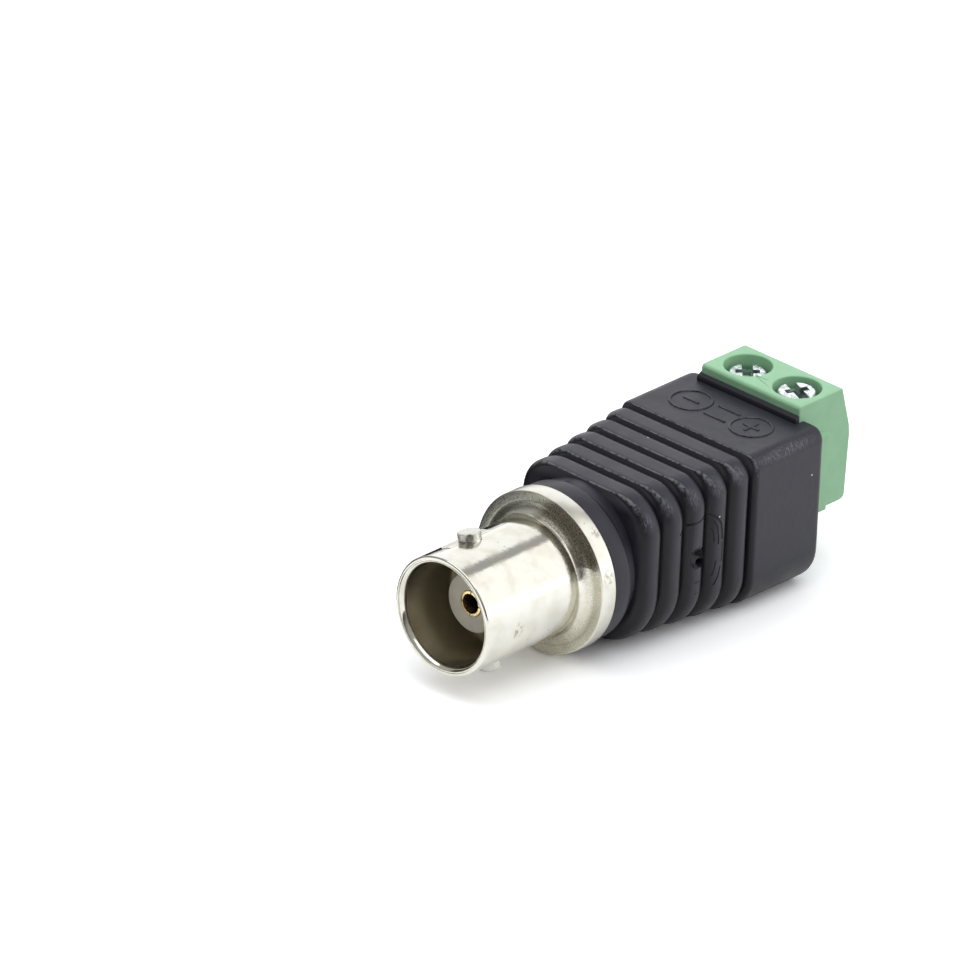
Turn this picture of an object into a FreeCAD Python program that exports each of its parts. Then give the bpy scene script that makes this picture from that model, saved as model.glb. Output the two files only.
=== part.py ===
"""Video balun: a BNC jack moulded into a ribbed black body with a two-way screw terminal.

Units are millimetres, +Z is up. The origin is the centre of the jack's mouth: the barrel runs
along +Y, its mouth faces -Y and the wire entries face +Y. Each pole of the terminal block is
named after its polarity: minus lies on the -X side and plus on the +X side.
"""
import FreeCAD, Part
import math
import os

V = FreeCAD.Vector
Y_AXIS = V(0, 1, 0)
Z_AXIS = V(0, 0, 1)

# Largest distance at which two places count as one
touch = 1e-6

# Jack shell, a nickel-plated die casting
barrel_radius = 4.8
bore_radius = 4.05
bore_depth = 5.2
throat_radius = 3.25
throat_cone = 0.8
reference_depth = 8.4
seat_radius = 3.6
mouth_outer_chamfer = 0.25
mouth_inner_chamfer = 0.15
flange_front = 10.8
flange_thickness = 1.5
flange_radius = 6.55
flange_cone_length = 0.9
flange_cone_height = 0.7
spigot_radius = 4.9
spigot_length = 4.7
stud_tilt = 15.0
stud_centre = 4.15
stud_radius = 0.92
stud_reach = 5.5
stud_chamfer = 0.18

# Dielectric and contact
boss_radius = 2.375
boss_face = 3.2
insulator_end = 14.4
contact_radius = 1.05
contact_proud = 0.06
contact_collar_radius = 1.5
contact_collar_start = 10.0
socket_radius = 0.69
socket_depth = 6.0
socket_lead = 0.12
slot_width = 0.16
slot_length = 3.4
tail_radius = 0.7
tail_end = 20.4
press_gap = 0.02

# Earth tag behind the dielectric
tag_thickness = 0.5
tag_hole_radius = 2.2
tag_tongue_width = 1.6
tag_tongue_thickness = 0.4
tag_tongue_reach = 6.2

# Moulded body
body_floor = -6.7
ridge_count = 5
ridge_pitch = 2.35
ridge_groove = 0.45
ridge_front_edge = 0.42
ridge_rear_edge = 0.28
first_ridge = 15.2
front_width, block_width = 13.3, 14.2
front_top, block_top = 6.5, 6.75
front_top_corner, block_top_corner = 3.4, 1.15
front_bottom_corner, block_bottom_corner = 5.2, 3.2
groove_side = 0.85
groove_top = 0.55
collar_radius = 6.4
collar_length = 2.0
collar_edge = 0.3
valley_half_width = 5.75
valley_height = 6.3
block_length = 8.0
block_front_edge = 0.4
block_rear_edge = 0.6
lip_height = 0.32
lip_depth = 0.75
lip_edge = 0.25
lip_overhang = 0.25

# Terminal housing
pitch = 5.08
pole_count = 2
housing_inset = 0.95
housing_top = 8.05
housing_floor = -1.65
top_depth = 4.95
knee_overhang = 1.1
knee_height = 4.3
heel_overhang = 0.85
knee_round = 0.6
heel_round = 0.5
well_radius = 1.9
well_centre = 2.5
tongue_start = 1.3
tongue_width = 2.0
tongue_flare = 0.2
tongue_height = 0.4
tongue_top_drop = 3.1
side_slot_gap = 0.1
entry_width = 2.6
entry_low = 0.0
entry_high = 2.75
entry_flare = 0.45
entry_flare_depth = 0.9

# Metal parts of one pole
cage_width = 3.8
cage_depth = 3.3
cage_gap = 0.06
cage_floor = -0.95
cage_head = 4.1
cage_side_wall = 0.6
cage_base_wall = 0.6
cage_roof = 1.2
bar_width = 2.2
bar_thickness = 0.5
bar_reach = 3.6
bar_pin_width = 1.1
screw_radius = 1.2
screw_head_radius = 1.52
screw_head_height = 1.35
screw_head_edge = 0.22
screw_slot_width = 0.85
screw_slot_depth = 0.55
screw_cross_width = 0.6
screw_cross_length = 1.9
screw_cross_depth = 0.8
thread_gap = 0.05
head_depth = {"minus": 0.55, "plus": 0.27}
slot_turn = {"minus": 48.0, "plus": 4.0}
plate_width = 2.4
plate_depth = 2.9
plate_thickness = 0.6
pilot_radius = 0.5
pilot_gap = 0.06
rivet_radius = 0.85
rivet_height = 0.22
swivel_gap = 0.05

# Balun transformer and its leads
core_centre = 25.4
core_outer = 3.4
core_inner = 1.7
core_thickness = 2.6
winding_wall = 0.4
winding_gap = 0.03
winding_sweep = 130.0
jack_winding_angle = 180.0
terminal_winding_angle = 0.0
lead_radius = 0.25
solder_gap = 0.02
solder_run = 2.0
signal_lead_angle = 150.0
minus_lead_angle = -60.0

# Places that follow from the sizes above
flange_rear = flange_front + flange_thickness
spigot_rear = flange_rear + spigot_length
block_front = first_ridge + ridge_count * ridge_pitch
block_rear = block_front + block_length
housing_front = block_rear - housing_inset
housing_half = pitch * pole_count / 2
well_y = housing_front + well_centre
cage_front = well_y - cage_depth / 2
cage_rear = well_y + cage_depth / 2
cage_inner_half = cage_width / 2 - cage_side_wall
cage_inner_floor = cage_floor + cage_base_wall
cage_inner_top = cage_head - cage_roof
bar_top = cage_inner_floor + bar_thickness
bar_front = housing_front - bar_reach
knee_rear = housing_front + top_depth + knee_overhang
heel_rear = housing_front + top_depth + heel_overhang
tag_front = insulator_end
tag_rear = tag_front + tag_thickness
tag_tongue_end = tag_rear + tag_tongue_reach
tag_outside = -math.sqrt((seat_radius - press_gap) ** 2 - (tag_tongue_width / 2) ** 2)
pole_x = {"minus": -pitch / 2, "plus": pitch / 2}


def turned(profile):
    """Solid of revolution about the barrel axis, from (y, radius) points."""
    corners = [V(radius, y, 0) for y, radius in profile]
    face = Part.Face(Part.makePolygon(corners + corners[:1]))
    return face.revolve(V(0, 0, 0), Y_AXIS, 360)


def rod(start, end, radius):
    """Cylinder on the barrel axis."""
    return Part.makeCylinder(radius, end - start, V(0, start, 0), Y_AXIS)


def upright(x, y, low, high, radius):
    """Vertical cylinder."""
    return Part.makeCylinder(radius, high - low, V(x, y, low), Z_AXIS)


def block(x_range, y_range, z_range):
    """Rectangular block from its low and high limits on each axis."""
    low = V(x_range[0], y_range[0], z_range[0])
    sides = [pair[1] - pair[0] for pair in (x_range, y_range, z_range)]
    return Part.makeBox(sides[0], sides[1], sides[2], low)


def edges_at(shape, test):
    """Edges whose both ends pass a test on their position."""
    return [edge for edge in shape.Edges if all(test(vertex.Point) for vertex in edge.Vertexes)]


# Jack

def jack_shell():
    wall = [
        (0, barrel_radius - mouth_outer_chamfer),
        (mouth_outer_chamfer, barrel_radius),
        (flange_front - flange_cone_length, barrel_radius),
        (flange_front, barrel_radius + flange_cone_height),
        (flange_front, flange_radius),
        (flange_rear, flange_radius),
        (flange_rear, spigot_radius),
        (spigot_rear, spigot_radius),
        (spigot_rear, seat_radius),
        (reference_depth, seat_radius),
        (reference_depth, throat_radius),
        (bore_depth + throat_cone, throat_radius),
        (bore_depth, bore_radius),
        (mouth_inner_chamfer, bore_radius),
        (0, bore_radius + mouth_inner_chamfer),
    ]
    shell = turned(wall)
    for side in (0, 180):
        shell = shell.fuse(bayonet_stud(side + stud_tilt))
    return shell.removeSplitter()


def bayonet_stud(turn):
    """Stud rooted inside the barrel's wall, leaning from +Z towards -X."""
    root = (bore_radius + barrel_radius) / 2
    stud = upright(0, stud_centre, root, stud_reach, stud_radius)
    rim = [edge for edge in stud.Edges if abs(edge.BoundBox.ZMin - stud_reach) < touch]
    stud = stud.makeChamfer(stud_chamfer, rim)
    stud.rotate(V(0, 0, 0), Y_AXIS, -turn)
    return stud


def dielectric():
    outline = [
        (boss_face, boss_radius),
        (reference_depth, boss_radius),
        (reference_depth, seat_radius - press_gap),
        (insulator_end, seat_radius - press_gap),
        (insulator_end, contact_collar_radius + press_gap),
        (contact_collar_start, contact_collar_radius + press_gap),
        (contact_collar_start, contact_radius + press_gap),
        (boss_face, contact_radius + press_gap),
    ]
    return turned(outline)


def socket_contact():
    tip = boss_face - contact_proud
    outline = [
        (tip, socket_radius + socket_lead),
        (tip, contact_radius),
        (contact_collar_start, contact_radius),
        (contact_collar_start, contact_collar_radius),
        (insulator_end, contact_collar_radius),
        (insulator_end, tail_radius),
        (tail_end, tail_radius),
        (tail_end, 0),
        (tip + socket_depth, 0),
        (tip + socket_depth, socket_radius),
        (tip + socket_lead, socket_radius),
    ]
    contact = turned(outline)
    reach = contact_radius + press_gap
    half = slot_width / 2
    span = (tip - slot_width, tip + slot_length)
    contact = contact.cut(block((-reach, reach), span, (-half, half)))
    return contact.cut(block((-half, half), span, (-reach, reach)))


def earth_tag():
    ring = rod(tag_front, tag_rear, seat_radius - press_gap).cut(rod(tag_front, tag_rear, tag_hole_radius))
    tongue = block(
        (tag_outside, tag_outside + tag_tongue_thickness),
        (tag_front, tag_tongue_end),
        (-tag_tongue_width / 2, tag_tongue_width / 2),
    )
    return ring.fuse(tongue).removeSplitter()


# Moulded body

def body_section(share, y, side_inset=0.0, top_inset=0.0, rounded=True):
    """Upright outline at y. share runs from 0 at the first ridge to 1 at the rear block.

    Where it isn't rounded, each corner is two flats between the points of its arc.
    """
    def between(front, rear):
        return front + (rear - front) * share

    half = between(front_width, block_width) / 2 - side_inset
    top = between(front_top, block_top) - top_inset
    low = body_floor + top_inset
    upper = max(between(front_top_corner, block_top_corner) - top_inset, top_inset)
    lower = between(front_bottom_corner, block_bottom_corner) - top_inset
    cut = 1 - math.sqrt(0.5)

    def corner(x_sign, z, z_sign, radius):
        """Three points of a corner arc, from its side end to its level end."""
        return (
            V(x_sign * half, y, z - z_sign * radius),
            V(x_sign * (half - cut * radius), y, z - z_sign * cut * radius),
            V(x_sign * (half - radius), y, z),
        )

    right_top = corner(1, top, 1, upper)
    left_top = corner(-1, top, 1, upper)[::-1]
    left_low = corner(-1, low, -1, lower)
    right_low = corner(1, low, -1, lower)[::-1]
    arcs = [right_top, left_top, left_low, right_low]
    edges = []
    for arc, following in zip(arcs, arcs[1:] + arcs[:1]):
        if rounded:
            edges.append(Part.Arc(*arc).toShape())
        else:
            edges.append(Part.makeLine(arc[0], arc[1]))
            edges.append(Part.makeLine(arc[1], arc[2]))
        edges.append(Part.makeLine(arc[2], following[0]))
    return Part.Wire(edges)


def section_prism(share, start, length):
    face = Part.Face(body_section(share, start))
    return face.extrude(V(0, length, 0))


def ridge(step):
    share = step / ridge_count
    start = first_ridge + step * ridge_pitch
    length = ridge_pitch - ridge_groove
    rib = section_prism(share, start, length)
    front_edges = edges_at(rib, lambda p: abs(p.y - start) < touch)
    rib = rib.makeChamfer(ridge_front_edge, front_edges)
    rear_edges = edges_at(rib, lambda p: abs(p.y - start - length) < touch)
    rib = rib.makeChamfer(ridge_rear_edge, rear_edges)
    groove_floor = Part.Face(body_section(share, start + length / 2, groove_side, groove_top, False))
    return rib.fuse(groove_floor.extrude(V(0, ridge_pitch, 0)))


def collar():
    """Round collar against the flange, and the oval valley between it and the first ridge."""
    collar_rear = flange_rear + collar_length
    ring = rod(flange_rear, collar_rear, collar_radius)
    shoulder = edges_at(ring, lambda p: abs(p.y - collar_rear) < touch)
    ring = ring.makeChamfer(collar_edge, shoulder)
    top = V(0, flange_rear, valley_height)
    side = V(valley_half_width, flange_rear, 0)
    oval = Part.Wire(Part.Ellipse(top, side, V(0, flange_rear, 0)).toShape())
    valley_end = first_ridge + (ridge_pitch - ridge_groove) / 2
    return ring.fuse(Part.Face(oval).extrude(V(0, valley_end - flange_rear, 0)))


def rear_block():
    slab = section_prism(1, block_front, block_length)
    front_edges = edges_at(slab, lambda p: abs(p.y - block_front) < touch)
    slab = slab.makeChamfer(block_front_edge, front_edges)
    rear_edges = edges_at(slab, lambda p: abs(p.y - block_rear) < touch)
    return slab.makeChamfer(block_rear_edge, rear_edges)


def housing_lip():
    """Thin raised lip where the moulding meets the front of the terminal housing."""
    half = housing_half + lip_overhang
    lip = block(
        (-half, half),
        (housing_front - lip_depth, housing_front),
        (block_top - lip_height, block_top + lip_height),
    )
    upper = edges_at(lip, lambda p: p.z > block_top and p.y < housing_front - lip_depth / 2)
    ends = edges_at(lip, lambda p: p.z > block_top and p.x > half - touch)
    ends += edges_at(lip, lambda p: p.z > block_top and p.x < -half + touch)
    return lip.makeFillet(lip_edge, upper + ends)


def transformer_space():
    """The moulding closes round the wound core as one plain cylinder."""
    reach = core_thickness / 2 + winding_gap + winding_wall
    return rod(core_centre - reach, core_centre + reach, core_outer + winding_gap + winding_wall)


def moulded_body(inserts):
    parts = [ridge(step) for step in range(ridge_count)] + [rear_block(), housing_lip()]
    body = collar().multiFuse(parts).removeSplitter()
    pocket = block(
        (-housing_half, housing_half),
        (housing_front, block_rear + block_rear_edge),
        (housing_floor, housing_top),
    )
    jack_rear = rod(flange_rear, tag_rear, seat_radius)
    return body.cut([pocket, jack_rear, transformer_space()] + inserts).removeSplitter()


# Terminal block

def terminal_housing():
    outline = [
        (housing_front, housing_floor),
        (housing_front, housing_top),
        (housing_front + top_depth, housing_top),
        (knee_rear, knee_height),
        (heel_rear, housing_floor),
    ]
    corners = [V(-housing_half, y, z) for y, z in outline]
    side = Part.Face(Part.makePolygon(corners + corners[:1]))
    housing = side.extrude(V(2 * housing_half, 0, 0))
    knee = edges_at(housing, lambda p: abs(p.y - knee_rear) < touch and abs(p.z - knee_height) < touch)
    housing = housing.makeFillet(knee_round, knee)
    heel = edges_at(housing, lambda p: abs(p.y - heel_rear) < touch and abs(p.z - housing_floor) < touch)
    housing = housing.makeFillet(heel_round, heel)
    housing = housing.fuse(side_tongue(housing_half, 0.0))
    housing = housing.cut(side_tongue(-housing_half, side_slot_gap))
    for x in pole_x.values():
        housing = housing.cut(pole_cavity(x))
    return housing.removeSplitter()


def side_tongue(x, gap):
    """Dovetail tongue that joins blocks side by side, or its slot when gap is given."""
    near = housing_front + tongue_start - gap
    far = near + tongue_width + 2 * gap
    reach = tongue_height + gap
    corners = [
        V(x, near + tongue_flare, housing_floor - gap),
        V(x + reach, near, housing_floor - gap),
        V(x + reach, far, housing_floor - gap),
        V(x, far - tongue_flare, housing_floor - gap),
    ]
    base = Part.Face(Part.makePolygon(corners + corners[:1]))
    height = housing_top - tongue_top_drop - housing_floor
    return base.extrude(V(0, 0, height + 2 * gap))


def pole_cavity(x):
    """Cage pocket open at the hidden front, screw well above it and wire entry behind it."""
    half = cage_width / 2 + cage_gap
    pocket = block(
        (x - half, x + half),
        (housing_front, cage_rear + cage_gap),
        (cage_floor - cage_gap, cage_head + cage_gap),
    )
    well = upright(x, well_y, cage_head, housing_top, well_radius)
    entry_half = entry_width / 2
    throat = block((x - entry_half, x + entry_half), (cage_rear, knee_rear), (entry_low, entry_high))
    mouth_inner = heel_rear - entry_flare_depth
    inner = rectangle(x, mouth_inner, entry_half, entry_low, entry_high)
    outer = rectangle(x, knee_rear, entry_half + entry_flare, entry_low - entry_flare, entry_high + entry_flare)
    funnel = Part.makeLoft([inner, outer], True, True)
    return pocket.multiFuse([well, throat, funnel])


def rectangle(x, y, half, low, high):
    corners = [V(x - half, y, low), V(x + half, y, low), V(x + half, y, high), V(x - half, y, high)]
    return Part.makePolygon(corners + corners[:1])


def wire_cage(x):
    half = cage_width / 2
    outer = block((x - half, x + half), (cage_front, cage_rear), (cage_floor, cage_head))
    inner = block(
        (x - cage_inner_half, x + cage_inner_half),
        (cage_front, cage_rear),
        (cage_inner_floor, cage_inner_top),
    )
    thread = upright(x, well_y, cage_inner_top, cage_head, screw_radius + thread_gap)
    return outer.cut([inner, thread])


def contact_bar(x):
    """Flat bar on the cage's floor, narrowed to a solder pin inside the moulding."""
    wide = block(
        (x - bar_width / 2, x + bar_width / 2),
        (housing_front, cage_rear),
        (cage_inner_floor, bar_top),
    )
    pin = block(
        (x - bar_pin_width / 2, x + bar_pin_width / 2),
        (bar_front, housing_front),
        (cage_inner_floor, bar_top),
    )
    return wide.fuse(pin).removeSplitter()


def plate_top(pole):
    """The plate hangs below the cage's roof by as much as the screw has been turned in."""
    return cage_inner_top - swivel_gap - head_depth[pole]


def pressure_plate(pole):
    x = pole_x[pole]
    top = plate_top(pole)
    plate = block(
        (x - plate_width / 2, x + plate_width / 2),
        (well_y - plate_depth / 2, well_y + plate_depth / 2),
        (top - plate_thickness, top),
    )
    return plate.cut(upright(x, well_y, top - plate_thickness, top, pilot_radius + pilot_gap))


def clamp_screw(pole):
    x = pole_x[pole]
    head_top = housing_top - head_depth[pole]
    head_low = head_top - screw_head_height
    shank_low = plate_top(pole) + swivel_gap
    rivet_top = plate_top(pole) - plate_thickness - swivel_gap
    head = upright(x, well_y, head_low, head_top, screw_head_radius)
    rim = [edge for edge in head.Edges if abs(edge.BoundBox.ZMin - head_top) < touch]
    head = head.makeChamfer(screw_head_edge, rim)
    shank = upright(x, well_y, shank_low, head_low, screw_radius)
    pilot = upright(x, well_y, rivet_top, shank_low, pilot_radius)
    rivet = upright(x, well_y, rivet_top - rivet_height, rivet_top, rivet_radius)
    screw = head.multiFuse([shank, pilot, rivet]).removeSplitter()
    return screw.cut(screw_recess(x, head_top, slot_turn[pole])).removeSplitter()


def screw_recess(x, head_top, turn):
    """Full-width slot with a deeper, shorter cross through it."""
    reach = screw_head_radius + screw_slot_width
    side = screw_slot_width / 2
    slot = block((-reach, reach), (-side, side), (head_top - screw_slot_depth, head_top))
    arm = screw_cross_length / 2
    half = screw_cross_width / 2
    deep = (head_top - screw_cross_depth, head_top)
    cross = block((-arm, arm), (-half, half), deep).fuse(block((-half, half), (-arm, arm), deep))
    recess = slot.fuse(cross)
    recess.rotate(V(0, 0, 0), Z_AXIS, turn)
    recess.translate(V(x, well_y, 0))
    return recess


# Transformer

def ring_section(start_angle, sweep, outer, inner, thickness):
    """Rectangular ring section about the barrel axis, swept from start_angle."""
    low = core_centre - thickness / 2
    high = core_centre + thickness / 2
    corners = [V(inner, low, 0), V(outer, low, 0), V(outer, high, 0), V(inner, high, 0)]
    face = Part.Face(Part.makePolygon(corners + corners[:1]))
    face.rotate(V(0, 0, 0), Y_AXIS, start_angle)
    return face.revolve(V(0, 0, 0), Y_AXIS, sweep)


def ferrite_core():
    return ring_section(0, 360, core_outer, core_inner, core_thickness)


def winding(middle):
    """Sleeve of fine wire over one side of the core, centred at an angle from +X."""
    start = middle - winding_sweep / 2
    space = ring_section(
        start, winding_sweep,
        core_outer + winding_gap, core_inner - winding_gap, core_thickness + 2 * winding_gap,
    )
    wall = winding_gap + winding_wall
    pack = ring_section(
        start, winding_sweep,
        core_outer + wall, core_inner - wall, core_thickness + 2 * wall,
    )
    return pack.cut(space)


def lead(start, end):
    """Short straight wire between two solder points."""
    run = end - start
    return Part.makeCylinder(lead_radius, run.Length, start, run)


def winding_point(angle, y):
    """Point over the middle of the core's ring, with the angle counted from +X towards +Z."""
    ring = (core_outer + core_inner) / 2
    return V(ring * math.cos(math.radians(angle)), y, ring * math.sin(math.radians(angle)))


def leads():
    """Two leads from the jack to the first winding, two from the second to the contact bars."""
    reach = core_thickness / 2 + winding_gap + winding_wall + 2 * lead_radius
    front = core_centre - reach
    rear = core_centre + reach
    beside = lead_radius + solder_gap
    tag_x = tag_outside + tag_tongue_thickness + beside
    minus_x = pole_x["minus"] + bar_pin_width / 2 + beside
    plus_x = pole_x["plus"]
    above = bar_top + beside
    return {
        "signal_lead": lead(V(0, tail_end + lead_radius, 0), winding_point(signal_lead_angle, front)),
        "earth_lead": lead(V(tag_x, tag_tongue_end - solder_run, 0), V(tag_x, front, 0)),
        "plus_lead": lead(V(plus_x, rear, above), V(plus_x, bar_front + solder_run, above)),
        "minus_lead": lead(winding_point(minus_lead_angle, rear), V(minus_x, bar_front, above)),
    }


def build():
    nodes = {
        "jack_shell": jack_shell(),
        "jack_dielectric": dielectric(),
        "centre_contact": socket_contact(),
        "earth_tag": earth_tag(),
        "ferrite_core": ferrite_core(),
        "jack_side_winding": winding(jack_winding_angle),
        "terminal_side_winding": winding(terminal_winding_angle),
        "terminal_housing": terminal_housing(),
    }
    nodes.update(leads())
    for pole, x in pole_x.items():
        nodes[pole + "_wire_cage"] = wire_cage(x)
        nodes[pole + "_contact_bar"] = contact_bar(x)
        nodes[pole + "_pressure_plate"] = pressure_plate(pole)
        nodes[pole + "_clamp_screw"] = clamp_screw(pole)
    embedded = [
        "jack_shell", "jack_dielectric", "centre_contact", "earth_tag", "signal_lead",
        "earth_lead", "plus_lead", "minus_lead", "minus_contact_bar", "plus_contact_bar",
    ]
    nodes["moulded_body"] = moulded_body([nodes[name] for name in embedded])
    return nodes


os.makedirs("parts", exist_ok=True)
for node, shape in build().items():
    shape.exportStep(os.path.join("parts", node + ".step"))
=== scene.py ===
"""Looks of the video balun: BNC jack, ribbed moulding and green screw terminal.

Pieces are modelled in millimetres and brought to metres when they are finished. The frame is the
CAD's own: the origin is the centre of the jack's mouth, +Y runs to the wire entries, +Z is up.
"""

import math

import bmesh
import bpy
from mathutils import Matrix, Vector
from mathutils.bvhtree import BVHTree


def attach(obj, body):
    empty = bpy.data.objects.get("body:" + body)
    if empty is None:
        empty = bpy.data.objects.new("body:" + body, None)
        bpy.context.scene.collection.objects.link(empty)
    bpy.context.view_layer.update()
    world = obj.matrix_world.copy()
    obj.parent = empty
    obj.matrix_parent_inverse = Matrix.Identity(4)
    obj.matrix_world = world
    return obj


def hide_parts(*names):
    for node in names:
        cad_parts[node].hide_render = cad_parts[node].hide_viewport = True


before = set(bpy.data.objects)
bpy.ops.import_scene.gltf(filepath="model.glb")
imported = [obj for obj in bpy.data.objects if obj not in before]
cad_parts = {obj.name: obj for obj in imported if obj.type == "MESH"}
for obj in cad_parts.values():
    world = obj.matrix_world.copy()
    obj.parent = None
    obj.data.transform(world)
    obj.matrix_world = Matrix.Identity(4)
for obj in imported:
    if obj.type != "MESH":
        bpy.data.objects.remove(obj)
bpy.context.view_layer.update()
bpy.ops.object.select_all(action="DESELECT")

MM = 0.001

# Jack
barrel_radius = 4.8
bore_radius = 4.05
bore_depth = 5.2
throat_radius = 3.25
throat_end = 6.0
reference_depth = 8.4
seat_radius = 3.6
flange_front = 10.8
flange_rear = 12.3
flange_radius = 6.55
spigot_radius = 4.9
spigot_rear = 17.0
stud_centre = 4.15
stud_radius = 0.92
stud_reach = 5.5
stud_tilt = 15.0
pad_length = 4.4
pad_width = 0.9
pad_height = 0.06

# Dielectric and contact
boss_radius = 2.375
boss_face = 3.2
insulator_end = 14.4
contact_radius = 1.05
contact_tip = 3.14
contact_collar_radius = 1.5
contact_collar_start = 10.0
socket_radius = 0.69
socket_end = 9.14
slot_width = 0.1
slot_end = 6.54
tail_radius = 0.7
tail_end = 20.4

# Moulded body
body_floor = -6.7
first_ridge = 15.2
ridge_count = 5
ridge_pitch = 2.35
ridge_groove = 0.05
ridge_front_round = (0.12, 1.2)
ridge_rear_round = (1.0, 1.0)
front_width, block_width = 13.3, 14.2
front_top, block_top = 6.5, 6.75
front_top_corner, block_top_corner = 3.4, 1.15
front_bottom_corner, block_bottom_corner = 5.2, 3.2
groove_side = 1.15
groove_top = 0.55
collar_radius = 6.4
collar_rear = 14.3
valley_half_width = 5.75
valley_height = 6.3
gate_face = 6.85
block_front = 26.95
block_rear = 34.95
block_front_round = (0.12, 0.55)
block_rear_round = (0.6, 0.7)
room_radius = 3.83
room_rear = 27.13
mark_x, mark_y = 3.1, 30.75
mark_radius = 1.65
mark_width = 0.24
mark_range = (block_top - 0.1, block_top + 0.09)
mark_reach = 0.8
bar_range = (-1.0, 1.2)
bar_offset = 0.85
lip_front = 33.62
lip_height = 0.75
lip_crest = 0.36

# Terminal block
pole_x = {"minus": -2.54, "plus": 2.54}
housing_half = 5.08
housing_front = 34.0
housing_top = 8.05
housing_floor = -1.65
housing_rear = 38.95
knee_rear = 40.05
knee_height = 4.3
heel_rear = 39.8
well_y = 36.5
well_radius = 1.9
cage_head = 4.1
entry_half = 1.3
entry_low, entry_high = 0.0, 2.75
entry_flare = 0.45
entry_mouth_inner = 38.9
cage_rear = 38.15
cage_half = 1.96
cage_gap = 0.06
cage_floor = -1.01
cage_inner_top = 2.9
tongue_near = 35.3
tongue_width = 2.0
tongue_flare = 0.2
tongue_height = 0.4
tongue_top = 4.95
side_slot_gap = 0.1

# Clamp screws
screw_radius = 1.2
thread_root = 1.0
thread_pitch = 0.45
screw_head_radius = 1.52
screw_head_height = 1.35
screw_slot_width = 0.85
screw_slot_depth = 0.55
screw_cross_width = 0.6
screw_cross_length = 1.9
screw_cross_depth = 0.8
plate_thickness = 0.6
pilot_radius = 0.5
rivet_radius = 0.85
rivet_height = 0.22
swivel_gap = 0.05
head_depth = {"minus": 0.55, "plus": 0.27}
slot_turn = {"minus": -46.0, "plus": -24.0}


# Modelling helpers

def activate(piece):
    bpy.ops.object.select_all(action="DESELECT")
    piece.select_set(True)
    bpy.context.view_layer.objects.active = piece
    return piece


def apply_place(piece):
    activate(piece)
    bpy.ops.object.transform_apply(location=True, rotation=True, scale=True)
    return piece


def started(name):
    """Name the primitive that was just added and put its place into its mesh."""
    piece = bpy.context.active_object
    piece.name = name
    piece.data.name = name
    return apply_place(piece)


def box(name, x_range, y_range, z_range):
    ranges = (x_range, y_range, z_range)
    centre = [(low + high) / 2 for low, high in ranges]
    sides = [high - low for low, high in ranges]
    bpy.ops.mesh.primitive_cube_add(size=1, location=centre, scale=sides)
    return started(name)


def cylinder(name, start, end, radius, segments=64, far_radius=None):
    """Cylinder or cone from one point to another."""
    run = Vector(end) - Vector(start)
    turn = run.to_track_quat("Z", "Y").to_euler()
    bpy.ops.mesh.primitive_cone_add(
        vertices=segments,
        radius1=radius,
        radius2=radius if far_radius is None else far_radius,
        depth=run.length,
        location=(Vector(start) + Vector(end)) / 2,
        rotation=turn,
    )
    return started(name)


def edit(piece):
    activate(piece)
    bpy.ops.object.mode_set(mode="EDIT")


def leave():
    bpy.ops.object.mode_set(mode="OBJECT")


def select_edges(piece, test):
    """Select the edges whose two ends both pass a test on their place."""
    bpy.ops.mesh.select_all(action="DESELECT")
    bpy.ops.mesh.select_mode(type="EDGE")
    mesh = bmesh.from_edit_mesh(piece.data)
    for edge in mesh.edges:
        if all(test(vertex.co) for vertex in edge.verts):
            edge.select_set(True)
    mesh.select_flush_mode()
    bmesh.update_edit_mesh(piece.data)


def select_points(piece, test):
    bpy.ops.mesh.select_all(action="DESELECT")
    bpy.ops.mesh.select_mode(type="VERT")
    mesh = bmesh.from_edit_mesh(piece.data)
    for vertex in mesh.verts:
        if test(vertex.co):
            vertex.select_set(True)
    mesh.select_flush_mode()
    bmesh.update_edit_mesh(piece.data)


def near(value, target, reach=1e-3):
    return abs(value - target) < reach


def round_edges(piece, test, width, segments=4):
    """Bevel the edges whose ends pass the test."""
    edit(piece)
    select_edges(piece, test)
    bpy.ops.mesh.bevel(offset=width, segments=segments, affect="EDGES", clamp_overlap=False)
    leave()
    return piece


def cut_at(piece, place, normal):
    """Slice through a piece without removing anything."""
    edit(piece)
    bpy.ops.mesh.select_all(action="SELECT")
    bpy.ops.mesh.bisect(plane_co=place, plane_no=normal, use_fill=False, clear_outer=False)
    leave()
    return piece


def lathe(name, profile, segments=128, axis="Y"):
    """Turned piece: a ring extruded along (place, radius) points about the axis."""
    def at(place):
        return (0, place, 0) if axis == "Y" else (0, 0, place)

    first, radius = profile[0]
    turn = (math.radians(90), 0, 0) if axis == "Y" else (0, 0, 0)
    bpy.ops.mesh.primitive_circle_add(
        vertices=segments, radius=radius, location=at(first), rotation=turn
    )
    piece = started(name)
    edit(piece)
    bpy.ops.mesh.select_all(action="SELECT")
    place = first
    for following, wanted in profile[1:]:
        step = Vector(at(following)) - Vector(at(place))
        bpy.ops.mesh.extrude_region_move(TRANSFORM_OT_translate={"value": step})
        ratio = max(wanted, 1e-6) / radius
        value = (ratio, 1, ratio) if axis == "Y" else (ratio, ratio, 1)
        bpy.ops.transform.resize(value=value, center_override=at(following))
        place, radius = following, max(wanted, 1e-6)
    bpy.ops.mesh.select_all(action="SELECT")
    bpy.ops.mesh.remove_doubles(threshold=1e-4)
    bpy.ops.mesh.normals_make_consistent(inside=False)
    leave()
    return piece


def round_ring(piece, place, radius, width, segments=3):
    """Round the edge that a turned piece has at one place along Y and one radius."""
    def on_ring(point):
        return near(point.y, place) and near(math.hypot(point.x, point.z), radius, 5e-3)
    return round_edges(piece, on_ring, width, segments)


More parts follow.
